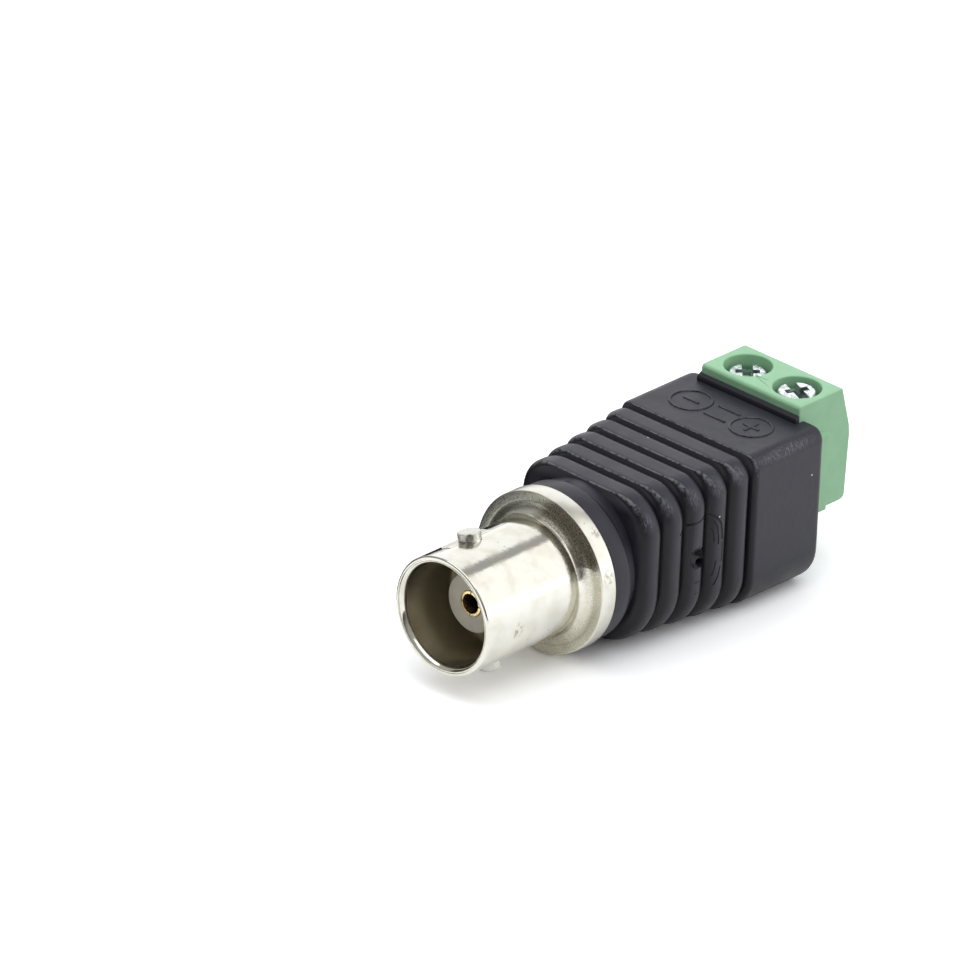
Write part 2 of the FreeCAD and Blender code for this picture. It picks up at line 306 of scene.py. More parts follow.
def combine(piece, tools, operation):
    """Unite, subtract or intersect tools with a piece, and remove them."""
    for tool in tools:
        activate(piece)
        bpy.ops.object.modifier_add(type="BOOLEAN")
        change = piece.modifiers[-1]
        change.operation = operation
        change.solver = "EXACT"
        change.object = tool
        bpy.ops.object.modifier_apply(modifier=change.name)
        bpy.data.objects.remove(tool, do_unlink=True)
    return piece


def soften(piece, width, segments=2, angle=35.0):
    """Small bevel on every edge sharper than the angle."""
    activate(piece)
    bpy.ops.object.modifier_add(type="BEVEL")
    change = piece.modifiers[-1]
    change.width = width
    change.segments = segments
    change.limit_method = "ANGLE"
    change.angle_limit = math.radians(angle)
    change.use_clamp_overlap = True
    change.harden_normals = False
    bpy.ops.object.modifier_apply(modifier=change.name)
    return piece


def finish(piece, body, material, replaced=(), angle=35.0):
    """Bring a piece to metres, shade it, and seat it on its body with its material."""
    activate(piece)
    piece.scale = (MM, MM, MM)
    apply_place(piece)
    bpy.ops.object.shade_smooth_by_angle(angle=math.radians(angle))
    bpy.ops.object.modifier_add(type="WEIGHTED_NORMAL")
    change = piece.modifiers[-1]
    change.keep_sharp = True
    bpy.ops.object.modifier_apply(modifier=change.name)
    piece.data.materials.clear()
    piece.data.materials.append(material)
    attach(piece, body)
    if replaced:
        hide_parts(*replaced)
    return piece


# Materials

class Board:
    """A node tree with short calls for adding nodes and joining them."""

    def __init__(self, tree):
        self.tree = tree

    def feed(self, socket, value):
        if isinstance(value, bpy.types.NodeSocket):
            self.tree.links.new(value, socket)
        else:
            socket.default_value = value

    def add(self, kind, inputs=None, **settings):
        node = self.tree.nodes.new("ShaderNode" + kind)
        for key, value in settings.items():
            setattr(node, key, value)
        for key, value in (inputs or {}).items():
            self.feed(node.inputs[key], value)
        return node

    def maths(self, operation, first, second=0.0, clamp=False):
        node = self.add("Math", operation=operation, use_clamp=clamp)
        self.feed(node.inputs[0], first)
        self.feed(node.inputs[1], second)
        return node.outputs[0]

    def product(self, first, *others):
        for other in others:
            first = self.maths("MULTIPLY", first, other)
        return first

    def largest(self, first, *others):
        for other in others:
            first = self.maths("MAXIMUM", first, other)
        return first

    def mix(self, share, first, second):
        """Blend of two colours."""
        node = self.add("Mix", data_type="RGBA")
        for index, value in ((0, share), (6, first), (7, second)):
            self.feed(node.inputs[index], value)
        return node.outputs[2]

    def blend(self, share, first, second):
        """Blend of two values."""
        node = self.add("Mix", data_type="FLOAT")
        for index, value in ((0, share), (2, first), (3, second)):
            self.feed(node.inputs[index], value)
        return node.outputs[0]

    def span(self, value, low, high, to_low=0.0, to_high=1.0):
        """Smooth step of a value from one range to another."""
        node = self.add("MapRange", interpolation_type="SMOOTHSTEP")
        for socket, number in zip(node.inputs, (value, low, high, to_low, to_high)):
            self.feed(socket, number)
        return node.outputs[0]

    def group(self, tree, **inputs):
        node = self.tree.nodes.new("ShaderNodeGroup")
        node.node_tree = tree
        for key, value in inputs.items():
            self.feed(node.inputs[key], value)
        return node.outputs[0]


def new_group(name, **values):
    """Shader node group that makes a mask from a vector and some values with defaults."""
    tree = bpy.data.node_groups.new(name, "ShaderNodeTree")
    tree.interface.new_socket("Vector", in_out="INPUT", socket_type="NodeSocketVector")
    for label, value in values.items():
        kind = "NodeSocketFloat" if isinstance(value, float) else "NodeSocketVector"
        socket = tree.interface.new_socket(label, in_out="INPUT", socket_type=kind)
        socket.default_value = value
    tree.interface.new_socket("Mask", in_out="OUTPUT", socket_type="NodeSocketFloat")
    entry = tree.nodes.new("NodeGroupInput")
    return Board(tree), entry.outputs


def close_group(board, value):
    last = board.tree.nodes.new("NodeGroupOutput")
    board.tree.links.new(value, last.inputs[0])
    return board.tree


def speck_group():
    """Scattered round specks. Share is how many cells hold one."""
    board, entry = new_group("specks", Per_mm=2.0, Size=0.2, Share=0.1)
    scale = board.product(entry["Per_mm"], 1 / MM)
    cells = board.add("TexVoronoi", {"Vector": entry["Vector"], "Scale": scale})
    core = board.product(entry["Size"], 0.6)
    dot = board.span(cells.outputs["Distance"], core, entry["Size"], 1.0, 0.0)
    chance = board.add("SeparateColor", {"Color": cells.outputs["Color"]}).outputs[0]
    chosen = board.maths("LESS_THAN", chance, entry["Share"])
    return close_group(board, board.product(dot, chosen))


def cloud_group():
    """Soft irregular clouds between 0 and 1, with a size in millimetres."""
    board, entry = new_group("clouds", Size_mm=1.0, Detail=3.0, Low=0.4, High=0.6)
    scale = board.maths("DIVIDE", 1 / MM, entry["Size_mm"])
    noise = board.add(
        "TexNoise", {"Vector": entry["Vector"], "Scale": scale, "Detail": entry["Detail"]}
    )
    return close_group(board, board.span(noise.outputs[0], entry["Low"], entry["High"]))


def patch_group():
    """Soft ellipsoid about a centre, both in metres."""
    board, entry = new_group("patch", Centre=(0.0, 0.0, 0.0), Radii=(MM, MM, MM), Core=0.4)
    offset = board.add("VectorMath", operation="SUBTRACT")
    board.feed(offset.inputs[0], entry["Vector"])
    board.feed(offset.inputs[1], entry["Centre"])
    scaled = board.add("VectorMath", operation="DIVIDE")
    board.feed(scaled.inputs[0], offset.outputs[0])
    board.feed(scaled.inputs[1], entry["Radii"])
    length = board.add("VectorMath", operation="LENGTH")
    board.feed(length.inputs[0], scaled.outputs[0])
    return close_group(board, board.span(length.outputs["Value"], entry["Core"], 1.0, 1.0, 0.0))


SPECKS = speck_group()
CLOUDS = cloud_group()
PATCH = patch_group()


def new_material(name):
    """Material with one Principled shader. Returns the material, its board, shader and place."""
    made = bpy.data.materials.new(name)
    made.use_nodes = True
    tree = made.node_tree
    tree.nodes.clear()
    board = Board(tree)
    shader = board.add("BsdfPrincipled")
    surface = board.add("OutputMaterial")
    tree.links.new(shader.outputs[0], surface.inputs[0])
    place = board.add("TexCoord").outputs["Object"]
    return made, board, shader, place


def bump(board, shader, height, distance, strength=1.0):
    node = board.add("Bump", {"Height": height, "Distance": distance, "Strength": strength})
    board.feed(shader.inputs["Normal"], node.outputs[0])


def off_axis(board, place):
    """Distance from the barrel's axis, place along it, and height, in metres."""
    x, along, height = board.add("SeparateXYZ", {"Vector": place}).outputs
    squares = board.maths("ADD", board.product(x, x), board.product(height, height))
    return board.maths("SQRT", squares), along, height


def patch(board, place, centre, radii, core=0.4):
    """Soft patch with its centre and radii in millimetres."""
    return board.group(
        PATCH,
        Vector=place,
        Centre=[value * MM for value in centre],
        Radii=[value * MM for value in radii],
        Core=core,
    )


def patches(board, place, centres, radii, core):
    """Soft patches of one size about several centres."""
    return board.largest(*(patch(board, place, centre, radii, core) for centre in centres))


def nickel_plate():
    """Bright warm plating with stains and specks: grainy on the flange's face, matt with painted shade in
    the bore, whiter on the studs as a painted highlight, and a brown stain with a painted dark reflection
    over the flange's face and flare.
    """
    made, board, shader, place = new_material("nickel_plate")
    haze = board.group(CLOUDS, Vector=place, Size_mm=1.6, Low=0.35, High=0.7)
    fine = board.group(CLOUDS, Vector=place, Size_mm=0.22, Detail=4.0, Low=0.3, High=0.75)
    grain = board.group(CLOUDS, Vector=place, Size_mm=0.11, Detail=3.0, Low=0.35, High=0.7)
    spots = board.group(SPECKS, Vector=place, Per_mm=1.6, Size=0.12, Share=0.10)
    radius, along, height = off_axis(board, place)
    in_bore = board.maths("LESS_THAN", radius, (bore_radius + 0.03) * MM)
    face_reach = board.span(radius, (barrel_radius + 0.02) * MM, (barrel_radius + 0.35) * MM)
    ahead_of_rim = board.maths("LESS_THAN", along, (flange_front + 0.03) * MM)
    on_face = board.product(face_reach, ahead_of_rim)
    stud_side = patch(board, place, (-0.69, 3.5, 5.1), (0.38, 0.38, 0.5), 0.6)
    # Brown stain on the flange's face and flare, made darker and less metallic as a painted dark
    # reflection.
    stain_and_painted_reflection = patch(board, place, (3.2, 10.3, 4.3), (4.2, 2.2, 3.4), 0.72)
    upper = board.span(height, 2.2 * MM, 2.3 * MM)
    off_barrel = board.span(radius, (barrel_radius + 0.01) * MM, (barrel_radius + 0.08) * MM)
    stain_and_painted_reflection = board.product(stain_and_painted_reflection, upper, off_barrel, ahead_of_rim)
    raised = board.maths("GREATER_THAN", radius, (barrel_radius + 0.12) * MM)
    # Painted highlight: the studs get a whiter, less metallic colour than the rest of the plating.
    on_stud = board.product(raised, board.maths("LESS_THAN", along, 6.0 * MM))
    on_rim = board.maths("GREATER_THAN", radius, (flange_radius - 0.12) * MM)
    smudge = patch(board, place, (4.75, 3.3, -0.5), (0.7, 0.8, 0.9), 0.2)
    rim_stain = patch(board, place, (4.5, 11.9, 4.75), (0.9, 0.7, 0.5), 0.3)
    rim_scuff = patch(board, place, (6.45, 11.6, 1.8), (0.6, 0.7, 1.1), 0.3)
    blotch = board.group(CLOUDS, Vector=place, Size_mm=0.4, Detail=4.0, Low=0.45, High=0.6)
    stains = board.product(board.largest(smudge, rim_stain, rim_scuff), blotch)
    mottle = board.product(stud_side, board.blend(blotch, 0.8, 1.0))
    # Darker, less metallic patches: the mottled middle of one stud's side, and the brown stain with its
    # painted dark reflection.
    darkened_patches = board.largest(mottle, board.product(stain_and_painted_reflection, board.blend(grain, 1.0, 0.7)))
    warm = board.mix(haze, (0.70, 0.685, 0.62, 1), (0.62, 0.60, 0.52, 1))
    warm = board.mix(on_stud, warm, (0.96, 0.96, 0.93, 1))
    warm = board.mix(spots, warm, (0.28, 0.24, 0.19, 1))
    grained = board.product(on_face, board.blend(grain, 0.35, 0.8))
    warm = board.mix(grained, warm, (0.56, 0.54, 0.42, 1))
    warm = board.mix(board.product(stains, 0.7), warm, (0.30, 0.26, 0.20, 1))
    warm = board.mix(board.product(darkened_patches, 0.95), warm, (0.10, 0.078, 0.048, 1))
    # Painted shade: inside the bore the colour is darker and yellower; the bore is also matt.
    board.feed(shader.inputs["Base Color"], board.mix(in_bore, warm, (0.55, 0.51, 0.41, 1)))
    board.feed(shader.inputs["Metallic"], board.blend(darkened_patches, board.blend(on_stud, 1.0, 0.35), 0.45))
    rough = board.blend(haze, 0.10, 0.16)
    rough = board.maths("ADD", rough, board.product(board.largest(spots, stains), 0.25))
    rough = board.blend(on_face, rough, board.blend(grain, 0.26, 0.38))
    rough = board.blend(on_rim, rough, 0.3)
    board.feed(shader.inputs["Roughness"], board.blend(in_bore, rough, 0.33))
    bump(board, shader, board.blend(board.blend(on_face, 0.35, 0.9), haze, fine), 0.00001, 0.4)
    return made


def dielectric_plastic():
    made, board, shader, place = new_material("dielectric_plastic")
    haze = board.group(CLOUDS, Vector=place, Size_mm=0.8, Low=0.3, High=0.7)
    board.feed(shader.inputs["Base Color"], board.mix(haze, (0.70, 0.66, 0.55, 1), (0.76, 0.72, 0.61, 1)))
    shader.inputs["Roughness"].default_value = 0.5
    shader.inputs["Subsurface Weight"].default_value = 0.15
    shader.inputs["Subsurface Radius"].default_value = (1.0, 0.95, 0.85)
    shader.inputs["Subsurface Scale"].default_value = 0.0006
    fine = board.group(CLOUDS, Vector=place, Size_mm=0.12, Low=0.2, High=0.8)
    bump(board, shader, fine, 0.000005, 0.5)
    return made


def metal(name, colour, darker, rough_low, rough_high, cloud_size):
    """Plated or bare metal with clouds of tarnish and fine unevenness."""
    made, board, shader, place = new_material(name)
    haze = board.group(CLOUDS, Vector=place, Size_mm=cloud_size, Low=0.35, High=0.7)
    fine = board.group(CLOUDS, Vector=place, Size_mm=cloud_size / 6, Low=0.2, High=0.8)
    board.feed(shader.inputs["Base Color"], board.mix(haze, colour + (1,), darker + (1,)))
    shader.inputs["Metallic"].default_value = 1.0
    board.feed(shader.inputs["Roughness"], board.blend(haze, rough_low, rough_high))
    bump(board, shader, board.blend(0.5, haze, fine), 0.000006, 0.5)
    return made


def gold_plate():
    """Pale gold, with painted shade inside the socket."""
    made, board, shader, place = new_material("gold_plate")
    haze = board.group(CLOUDS, Vector=place, Size_mm=0.6, Low=0.35, High=0.7)
    radius, _, _ = off_axis(board, place)
    outside = board.span(radius, (socket_radius + 0.04) * MM, (socket_radius + 0.1) * MM)
    pale = board.mix(haze, (0.90, 0.72, 0.38, 1), (0.74, 0.56, 0.27, 1))
    # Painted shade: the socket's inside is near black.
    board.feed(shader.inputs["Base Color"], board.mix(outside, (0.07, 0.045, 0.045, 1), pale))
    shader.inputs["Metallic"].default_value = 1.0
    board.feed(shader.inputs["Roughness"], board.blend(outside, 0.6, board.blend(haze, 0.2, 0.34)))
    bump(board, shader, haze, 0.000006, 0.5)
    return made


def zinc_plate():
    """Bright zinc, with painted shade in the screws' recesses."""
    made, board, shader, place = new_material("zinc_plate")
    haze = board.group(CLOUDS, Vector=place, Size_mm=0.35, Detail=4.0, Low=0.40, High=0.62)
    fine = board.group(CLOUDS, Vector=place, Size_mm=0.12, Detail=4.0, Low=0.2, High=0.8)
    recess_drop = housing_top - 0.72
    recesses = [(x, well_y, recess_drop - head_depth[pole]) for pole, x in pole_x.items()]
    # Painted shade: darker, rougher colour at the bottoms of the screws' slots and crosses.
    painted_recess_shade = patches(board, place, recesses, (1.5, 1.5, 0.55), 0.6)
    bright = board.mix(haze, (0.86, 0.89, 0.90, 1), (0.50, 0.54, 0.54, 1))
    board.feed(shader.inputs["Base Color"], board.mix(painted_recess_shade, bright, (0.40, 0.45, 0.44, 1)))
    shader.inputs["Metallic"].default_value = 1.0
    board.feed(shader.inputs["Roughness"], board.blend(painted_recess_shade, board.blend(haze, 0.12, 0.3), 0.3))
    bump(board, shader, board.blend(0.4, haze, fine), 0.00003, 0.7)
    return made


def black_moulding():
    """Satin black with dust, frosted scuffs carrying a painted highlight, painted glints on the ribs' front
    edges, painted shade on the rib flanks and underside, and painted light on the top's step faces.
    """
    made, board, shader, place = new_material("black_moulding")
    haze = board.group(CLOUDS, Vector=place, Size_mm=2.5, Low=0.35, High=0.7)
    grain = board.group(CLOUDS, Vector=place, Size_mm=0.10, Detail=2.0, Low=0.2, High=0.8)
    ripple = board.group(CLOUDS, Vector=place, Size_mm=0.9, Detail=2.0, Low=0.3, High=0.7)
    dust = board.group(SPECKS, Vector=place, Per_mm=1.1, Size=0.07, Share=0.10)
    stretched = board.add("Mapping", {"Vector": place, "Scale": (1.0, 2.2, 0.45), "Rotation": (0.6, 0, 0)})
    scratches = board.group(
        CLOUDS, Vector=stretched.outputs[0], Size_mm=0.2, Detail=5.0, Low=0.47, High=0.62
    )
    # Scuffs along the block's top edge and the ribs' shoulders, also painted lighter as a highlight.
    edge_scuff_and_highlight = patch(board, place, (7.0, 30.6, 6.3), (0.75, 4.6, 0.7), 0.3)
    shoulders = [
        (6.3, 15.9, 5.0),
        (6.3, 18.1, 5.6),
        (6.5, 20.7, 5.4),
        (6.6, 23.2, 5.6),
        (6.8, 25.5, 5.9),
    ]
    scuffed_and_highlit = board.largest(edge_scuff_and_highlight, patches(board, place, shoulders, (0.9, 0.75, 1.3), 0.2))
    frost_and_highlight = board.product(scuffed_and_highlit, scratches)
    facing = board.add("SeparateXYZ", {"Vector": board.add("TexCoord").outputs["Normal"]}).outputs["Y"]
    _, along, height = board.add("SeparateXYZ", {"Vector": place}).outputs
    before_lip = board.maths("LESS_THAN", along, 33.0 * MM)
    # Painted glint: a lighter, speckled band along the ribs' front top edges.
    front_turn = board.span(facing, -0.45, -0.15, 1.0, 0.0)
    front_slope = board.span(facing, -0.9, -0.6)
    sparkle = board.group(CLOUDS, Vector=place, Size_mm=0.3, Detail=3.0, Low=0.32, High=0.6)
    near_top = board.span(height, 4.8 * MM, 6.2 * MM)
    painted_glint = board.product(front_turn, front_slope, sparkle, near_top, before_lip)
    # Painted shade: darker colour on the ribs' front and rear flanks and towards the bottom.
    front_flank = board.span(facing, -0.75, -0.2, 1.0, 0.0)
    front_flank = board.product(front_flank, board.span(facing, -0.99, -0.8, 0.2, 0.95))
    rear_flank = board.span(facing, 0.0, 0.6, 0.0, 0.95)
    underside = board.span(height, -6.5 * MM, -2.0 * MM, 0.55, 0.0)
    shade = board.largest(front_flank, rear_flank, underside)
    top_fleck = patch(board, place, (-1.21, 23.8, 6.65), (0.09, 0.09, 0.09), 0.6)
    side_flecks = [(7.1, 33.51, 3.23), (6.92, 23.26, 3.09), (6.85, 21.65, 2.67)]
    flecks = board.largest(top_fleck, patches(board, place, side_flecks, (0.09, 0.10, 0.09), 0.6))
    base = board.mix(haze, (0.0275, 0.0265, 0.036, 1), (0.0355, 0.0345, 0.046, 1))
    base = board.mix(shade, base, (0.004, 0.004, 0.006, 1))
    # Painted light: the upright front faces of the top's steps are lighter.
    lit_step_face = board.span(facing, -0.995, -0.9, 1.0, 0.0)
    lit_step_face = board.product(lit_step_face, board.span(height, 5.0 * MM, 6.0 * MM), before_lip)
    base = board.mix(lit_step_face, base, (0.085, 0.083, 0.095, 1))
    base = board.mix(dust, base, (0.30, 0.29, 0.28, 1))
    base = board.mix(board.product(frost_and_highlight, 0.4), base, (0.26, 0.26, 0.29, 1))
    base = board.mix(board.product(scuffed_and_highlit, 0.1), base, (0.2, 0.2, 0.23, 1))
    base = board.mix(board.product(painted_glint, 0.6), base, (0.24, 0.24, 0.26, 1))
    board.feed(shader.inputs["Base Color"], board.mix(flecks, base, (0.75, 0.75, 0.78, 1)))
    rough = board.blend(haze, 0.36, 0.48)
    board.feed(shader.inputs["Roughness"], board.blend(frost_and_highlight, rough, 0.62))
    shader.inputs["Specular IOR Level"].default_value = 0.28
    bump(board, shader, board.blend(0.3, ripple, grain), 0.000018, 0.5)
    return made


def green_plastic():
    made, board, shader, place = new_material("green_plastic")
    haze = board.group(CLOUDS, Vector=place, Size_mm=2.0, Low=0.35, High=0.7)
    grain = board.group(CLOUDS, Vector=place, Size_mm=0.12, Detail=2.0, Low=0.2, High=0.8)
    # Painted shade: darker green in and around the screw wells.
    wells = [(x, well_y, 6.0) for x in pole_x.values()]
    painted_well_shade = patches(board, place, wells, (2.5, 2.5, 2.0), 0.8)
    colour = board.mix(haze, (0.305, 0.575, 0.342, 1), (0.342, 0.622, 0.378, 1))
    colour = board.mix(board.product(painted_well_shade, 0.7), colour, (0.07, 0.20, 0.14, 1))
    board.feed(shader.inputs["Base Color"], colour)
    board.feed(shader.inputs["Roughness"], board.blend(haze, 0.42, 0.52))
    shader.inputs["Subsurface Weight"].default_value = 0.1
    shader.inputs["Subsurface Radius"].default_value = (0.5, 1.0, 0.6)
    shader.inputs["Subsurface Scale"].default_value = 0.0006
    bump(board, shader, grain, 0.000008, 0.5)
    return made


NICKEL = nickel_plate()
DIELECTRIC = dielectric_plastic()
GOLD = gold_plate()
TIN = metal("tin_plate", (0.72, 0.69, 0.60), (0.55, 0.50, 0.40), 0.30, 0.45, 0.8)
ZINC = zinc_plate()
BLACK = black_moulding()
GREEN = green_plastic()
FERRITE = metal("ferrite", (0.10, 0.10, 0.11), (0.07, 0.07, 0.075), 0.55, 0.70, 0.5)
ENAMEL = metal("enamelled_wire", (0.62, 0.26, 0.10), (0.50, 0.18, 0.07), 0.25, 0.35, 0.5)


# Jack

def turned_to_stud(piece, turn):
    piece.rotation_euler = (0, -math.radians(turn), 0)
    return apply_place(piece)


def bayonet_stud(turn):
    foot, top = (0, stud_centre, bore_radius + 0.35), (0, stud_centre, stud_reach)
    stud = cylinder("stud", foot, top, stud_radius, 48)
    round_edges(stud, lambda p: near(p.z, stud_reach), 0.16, 4)
    return turned_to_stud(stud, turn)


def stud_pad(turn):
    pad = box(
        "pad",
        (-pad_width, 0.0),
        (stud_centre - pad_length / 2, stud_centre + pad_length / 2),
        (bore_radius + 0.3, barrel_radius + pad_height),
    )
    round_edges(pad, lambda p: near(p.z, barrel_radius + pad_height), 0.04, 2)
    return turned_to_stud(pad, turn)


def plated_jack():
    """Jack shell: mouth with a fine groove, concave flare into the flange, and two studs."""
    edge = 0.1
    flare_radius = 0.95
    flare_steps = 12
    flare = []
    for step in range(flare_steps + 1):
        turn = math.radians(90 * step / flare_steps)
        flare.append((
            flange_front - flare_radius * (1 - math.sin(turn)),
            barrel_radius + flare_radius * (1 - math.cos(turn)),
        ))
    face_step = 0.05
    shell = lathe("plated_jack", [
        (0, barrel_radius - edge),
        (edge, barrel_radius),
        *flare,
        (flange_front - face_step, barrel_radius + flare_radius + face_step),
        (flange_front - face_step, flange_radius),
        (flange_rear, flange_radius),
        (flange_rear, spigot_radius),
        (spigot_rear, spigot_radius),
        (spigot_rear, seat_radius),
        (reference_depth, seat_radius),
        (reference_depth, throat_radius),
        (throat_end, throat_radius),
        (bore_depth, bore_radius),
        (0.5, bore_radius),
        (0.06, bore_radius + 0.24),
        (0.0, bore_radius + 0.34),
        (0.09, bore_radius + 0.38),
        (0.09, bore_radius + 0.46),
        (0, bore_radius + 0.50),
        (0, barrel_radius - edge),
    ], 160)
    round_ring(shell, 0, barrel_radius - edge, 0.04)
    round_ring(shell, edge, barrel_radius, 0.05)
    round_ring(shell, flange_front - face_step, flange_radius, 0.12, 4)
    round_ring(shell, flange_rear, flange_radius, 0.12, 4)
    round_ring(shell, bore_depth, bore_radius, 0.2, 4)
    for side in (0, 180):
        combine(shell, [stud_pad(side + stud_tilt), bayonet_stud(side + stud_tilt)], "UNION")
    return finish(shell, "adapter", NICKEL, ["jack_shell"])


def insulator():
    gap = 0.02
    piece = lathe("insulator", [
        (boss_face, boss_radius),
        (reference_depth, boss_radius),
        (reference_depth, seat_radius - gap),
        (insulator_end, seat_radius - gap),
        (insulator_end, contact_collar_radius + gap),
        (contact_collar_start, contact_collar_radius + gap),
        (contact_collar_start, contact_radius + gap),
        (boss_face, contact_radius + gap),
        (boss_face, boss_radius),
    ], 96)
    round_ring(piece, boss_face, boss_radius, 0.14, 4)
    round_ring(piece, boss_face, contact_radius + gap, 0.05, 2)
    return finish(piece, "adapter", DIELECTRIC, ["jack_dielectric"])


def gold_contact():
    """Slotted socket, with its retaining collar and tail inside the insulator."""
    tip, neck = (0, contact_tip, 0), (0, contact_collar_start + 0.1, 0)
    piece = cylinder("gold_contact", tip, neck, contact_radius, 64)
    round_ring(piece, contact_tip, contact_radius, 0.08, 3)
    front, rear = (0, contact_collar_start, 0), (0, insulator_end, 0)
    collar = cylinder("collar", front, rear, contact_collar_radius, 64)
    tail = cylinder("tail", (0, insulator_end - 0.1, 0), (0, tail_end, 0), tail_radius, 48)
    combine(piece, [collar, tail], "UNION")
    bore = cylinder("bore", (0, contact_tip - 1, 0), (0, socket_end, 0), socket_radius, 64)
    mouth = cylinder("mouth", (0, contact_tip - 0.1, 0), (0, contact_tip + 0.6, 0), 0.83, 64, socket_radius)
    half = slot_width / 2
    reach = contact_radius + 0.5
    across = box("slot", (-reach, reach), (contact_tip - 1, slot_end), (-half, half))
    upright = box("slot", (-half, half), (contact_tip - 1, slot_end), (-reach, reach))
    combine(piece, [bore, mouth, across, upright], "DIFFERENCE")
    return finish(piece, "adapter", GOLD, ["centre_contact"])


# Moulded body

def rounded_slab(name, share, y_range, side_inset=0.0, top_inset=0.0):
    """Slab with the body's rounded section."""
    def between(front, rear):
        return front + (rear - front) * share

    half = between(front_width, block_width) / 2 - side_inset
    top = between(front_top, block_top) - top_inset
    low = body_floor + top_inset
    upper = max(between(front_top_corner, block_top_corner) - top_inset, top_inset)
    lower = between(front_bottom_corner, block_bottom_corner) - top_inset
    slab = box(name, (-half, half), y_range, (low, top))
    for side in (-half, half):
        round_edges(slab, lambda p: near(p.z, top) and near(p.x, side), upper, 14)
        round_edges(slab, lambda p: near(p.z, low) and near(p.x, side), lower, 14)
    return slab


def round_outline(slab, place, top, side, segments):
    """Round the outline at one end: by one width along the top, by another on the sides and below."""
    widest = max(top, side)
    weights = slab.data.attributes.new("bevel_weight_edge", "FLOAT", "EDGE")
    for edge in slab.data.edges:
        first, last = (slab.data.vertices[index].co for index in edge.vertices)
        if near(first.y, place) and near(last.y, place):
            run = last - first
            upright = abs(run.z) / run.length if first.z + last.z > 0 else 1.0
            weights.data[edge.index].value = (top + (side - top) * upright) / widest
    activate(slab)
    bpy.ops.object.modifier_add(type="BEVEL")
    change = slab.modifiers[-1]
    change.limit_method = "WEIGHT"
    change.width = widest
    change.segments = segments
    bpy.ops.object.modifier_apply(modifier=change.name)
    slab.data.attributes.remove(slab.data.attributes["bevel_weight_edge"])
    return slab


def collar_and_valley():
    """Round collar against the flange, and the oval valley between it and the first ridge."""
    collar = cylinder("ribbed_body", (0, flange_rear, 0), (0, collar_rear, 0), collar_radius, 128)
    round_ring(collar, flange_rear, collar_radius, 0.15, 3)
    round_ring(collar, collar_rear, collar_radius, 0.4, 6)
    valley = cylinder("valley", (0, flange_rear + 0.5, 0), (0, first_ridge + 1, 0), valley_height, 128)
    edit(valley)
    bpy.ops.mesh.select_all(action="SELECT")
    narrowing = (valley_half_width / valley_height, 1, 1)
    bpy.ops.transform.resize(value=narrowing, center_override=(0, 0, 0))
    leave()
    return combine(collar, [valley], "UNION")


def scored_line(surface, path, width):
    """Thin tube laid along the body's right side through (y, z) points."""
    line = bpy.data.curves.new("witness", "CURVE")
    line.dimensions = "3D"
    line.bevel_depth = width / 2
    line.bevel_resolution = 1
    line.use_fill_caps = True
    deepest = gate_face - 0.6
    spacing = 0.16
    points = []
    for (y, z), (next_y, next_z) in zip(path, path[1:]):
        steps = max(1, round(math.hypot(next_y - y, next_z - z) / spacing))
        for step in range(steps):
            at_y = y + (next_y - y) * step / steps
            at_z = z + (next_z - z) * step / steps
            found = surface.ray_cast(Vector((9, at_y, at_z)), Vector((-1, 0, 0)))[0]
            points.append((max(found.x, deepest), at_y, at_z))
    spline = line.splines.new("POLY")
    spline.points.add(len(points) - 1)
    for point, place in zip(spline.points, points):
        point.co = (*place, 1)
    piece = bpy.data.objects.new("witness", line)
    bpy.context.scene.collection.objects.link(piece)
    activate(piece)
    bpy.ops.object.convert(target="MESH")
    return bpy.context.active_object


def gate_mark(body):
    """Witness lines, torn pit and small nicks that the mould's gate left on the right side."""
    surface = BVHTree.FromPolygons(
        [point.co for point in body.data.vertices], [face.vertices for face in body.data.polygons]
    )
    lines = [
        (0.22, [
            (19.05, 2.85), (19.3, 3.1), (19.9, 3.2), (20.5, 3.3), (21.1, 3.4), (21.6, 3.58),
            (22.1, 3.6), (22.6, 3.42), (23.1, 3.05), (23.45, 2.5), (23.62, 1.8), (23.7, 0.9),
        ]),
        (0.14, [(23.7, 0.9), (23.74, -0.2), (23.7, -1.0)]),
        (0.18, [(23.62, -1.2), (23.4, -2.0), (22.9, -2.8)]),
        (0.15, [(22.75, 2.9), (23.1, 2.3), (23.25, 1.4), (23.3, 0.6)]),
        (0.13, [(22.7, 2.2), (22.85, 1.5), (22.9, 0.8)]),
        (0.15, [(23.1, -0.6), (23.0, -1.3), (22.75, -2.0)]),
    ]
    cutters = [scored_line(surface, path, width) for width, path in lines]
    dish_floor = Vector((gate_face - 0.5, 21.35, 0.0))
    cutters.append(cylinder("dish", dish_floor, dish_floor + Vector((0.9, -0.2, 0.2)), 0.45, 9, 1.3))
    combine(body, cutters, "DIFFERENCE")
    flap_root = Vector((gate_face - 0.6, 21.6, 0.5))
    flap = cylinder("flap", flap_root, Vector((gate_face, 21.55, 0.2)), 0.4, 4, 0.08)
    combine(body, [flap], "UNION")
    holes = [
        cylinder("hole", (gate_face - 1.3, 21.6, -0.45), (gate_face + 0.3, 21.6, -0.3), 0.2, 8, 0.42),
        cylinder("hole", (gate_face - 0.9, 21.75, 0.8), (gate_face + 0.3, 21.7, 0.85), 0.08, 7, 0.2),
    ]
    for y, z, length in ((21.2, -1.75, 0.6), (21.0, -2.75, 1.0)):
        start = Vector((gate_face, y - length / 2, z))
        end = Vector((gate_face + 0.02, y + length / 2, z - 0.05))
        holes.append(cylinder("nick", start, end, 0.11, 6))
    return combine(body, holes, "DIFFERENCE")


